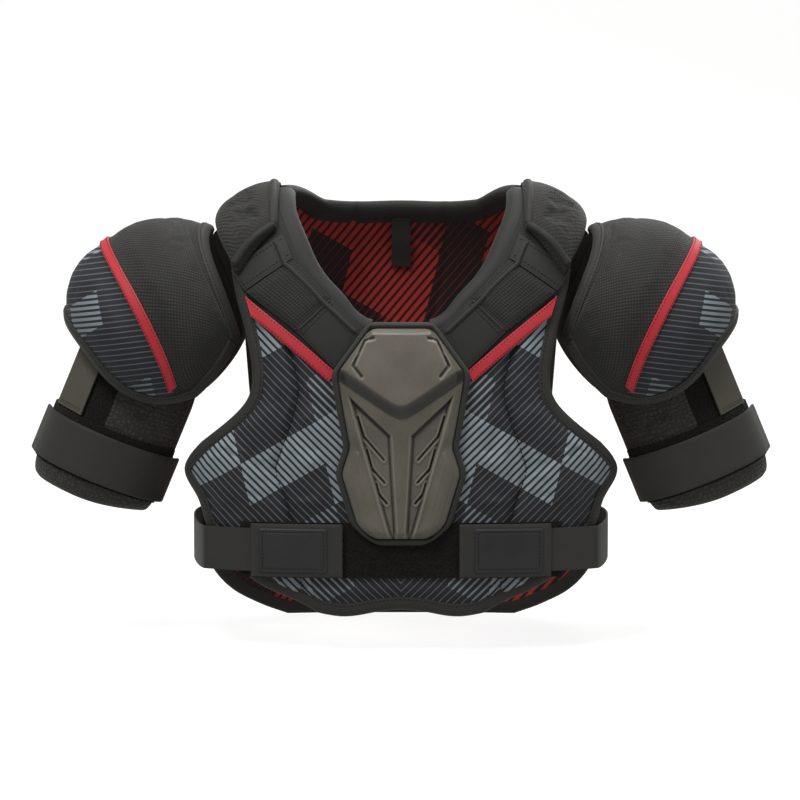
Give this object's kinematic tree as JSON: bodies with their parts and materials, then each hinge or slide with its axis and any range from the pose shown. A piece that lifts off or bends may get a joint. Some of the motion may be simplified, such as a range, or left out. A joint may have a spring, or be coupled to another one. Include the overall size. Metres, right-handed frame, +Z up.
{
  "type": "ice hockey shoulder pads",
  "caption": "Padded ice hockey shoulder pads: chest and back panels hinged at the shoulders, moulded sternum plate, shoulder caps and strapped bicep guards",
  "frame": {"origin": "middle of the neck opening on the wearer's shoulder line, which is the mount wearer_neck", "axes": "+X to the wearer's left, -Y to the wearer's front, +Z up"},
  "size_m": [0.6782, 0.2597, 0.415],
  "materials": {
    "printed_fabric": "woven polyester with a printed stripe, matt",
    "black_fabric": "black polyester mesh over foam, matt",
    "smooth_webbing": "smooth black woven webbing, low sheen",
    "red_trim": "red coated fabric, satin",
    "loop_pile": "black loop pile",
    "moulded_plate": "moulded olive grey plate, satin",
    "rubber_patch": "black moulded rubber, matt",
    "cup_plastic": "black polyethylene cup"
  },
  "bodies": {
    "back": {"back_panel": "printed_fabric", "back_binding": "black_fabric", "back_collar": "black_fabric", "spine_pad": "black_fabric", "locker_loop": "smooth_webbing", "left_rear_shoulder_pad": "black_fabric", "right_rear_shoulder_pad": "black_fabric", "left_cap_strap": "smooth_webbing", "right_cap_strap": "smooth_webbing", "left_belly_anchor": "smooth_webbing", "right_belly_anchor": "smooth_webbing"},
    "chest": {"chest_panel": "printed_fabric", "chest_binding": "black_fabric", "sternum_backing": "black_fabric", "sternum_plate": "moulded_plate", "loop_strip": "loop_pile", "left_front_collar": "black_fabric", "right_front_collar": "black_fabric", "left_yoke_webbing": "smooth_webbing", "right_yoke_webbing": "smooth_webbing", "left_yoke_mesh": "black_fabric", "right_yoke_mesh": "black_fabric", "left_yoke_tab": "smooth_webbing", "right_yoke_tab": "smooth_webbing", "left_chest_trim": "red_trim", "right_chest_trim": "red_trim", "left_collarbone_pad": "black_fabric", "right_collarbone_pad": "black_fabric"},
    "left_belly": {"left_belly_strap": "smooth_webbing", "left_belly_tab": "smooth_webbing", "left_belly_patch": "rubber_patch"},
    "left_cap": {"left_cap_shell": "printed_fabric", "left_cap_cup": "cup_plastic", "left_cap_trim": "red_trim", "left_cap_binding": "black_fabric"},
    "left_guard": {"left_bicep_guard": "black_fabric", "left_bicep_loop": "loop_pile", "left_link_strap": "smooth_webbing", "left_bicep_elastic": "smooth_webbing"},
    "left_band": {"left_bicep_strap": "smooth_webbing"},
    "right_belly": {"right_belly_strap": "smooth_webbing", "right_belly_tab": "smooth_webbing", "right_belly_patch": "rubber_patch"},
    "right_cap": {"right_cap_shell": "printed_fabric", "right_cap_cup": "cup_plastic", "right_cap_trim": "red_trim", "right_cap_binding": "black_fabric"},
    "right_guard": {"right_bicep_guard": "black_fabric", "right_bicep_loop": "loop_pile", "right_link_strap": "smooth_webbing", "right_bicep_elastic": "smooth_webbing"},
    "right_band": {"right_bicep_strap": "smooth_webbing"}
  },
  "joints": [
    {"name": "chest_open", "type": "hinge", "parent": "back", "child": "chest", "pos_m": [0, 0, 0.0435], "axis": [-1, 0, 0], "range_deg": [0, 12]},
    {"name": "left_belly_open", "type": "hinge", "parent": "back", "child": "left_belly", "pos_m": [0.18, 0.0903, -0.281], "axis": [0, 0, 1], "range_deg": [0, 84.5]},
    {"name": "left_cap_lift", "type": "hinge", "parent": "back", "child": "left_cap", "pos_m": [0.1685, 0, 0.012], "axis": [0, -1, 0], "range_deg": [0, 55]},
    {"name": "left_guard_swing", "type": "hinge", "parent": "left_cap", "child": "left_guard", "pos_m": [0.298, 0, -0.092], "axis": [0, -1, 0], "range_deg": [0, 35]},
    {"name": "left_band_open", "type": "hinge", "parent": "left_guard", "child": "left_band", "pos_m": [0.21276, -0.00886, -0.22946], "axis": [0.3827, 0, -0.9239], "range_deg": [0, 30]},
    {"name": "right_belly_open", "type": "hinge", "parent": "back", "child": "right_belly", "pos_m": [-0.18, 0.0903, -0.281], "axis": [0, 0, -1], "range_deg": [0, 84.5]},
    {"name": "right_cap_lift", "type": "hinge", "parent": "back", "child": "right_cap", "pos_m": [-0.1685, 0, 0.012], "axis": [0, 1, 0], "range_deg": [0, 55]},
    {"name": "right_guard_swing", "type": "hinge", "parent": "right_cap", "child": "right_guard", "pos_m": [-0.298, 0, -0.092], "axis": [0, 1, 0], "range_deg": [0, 35]},
    {"name": "right_band_open", "type": "hinge", "parent": "right_guard", "child": "right_band", "pos_m": [-0.21276, -0.00886, -0.22946], "axis": [0.3827, 0, 0.9239], "range_deg": [0, 30]}
  ],
  "couplings": [
    {"joint": "left_belly_open", "follows": "chest_open", "ratio": 7},
    {"joint": "right_belly_open", "follows": "chest_open", "ratio": 7}
  ]
}
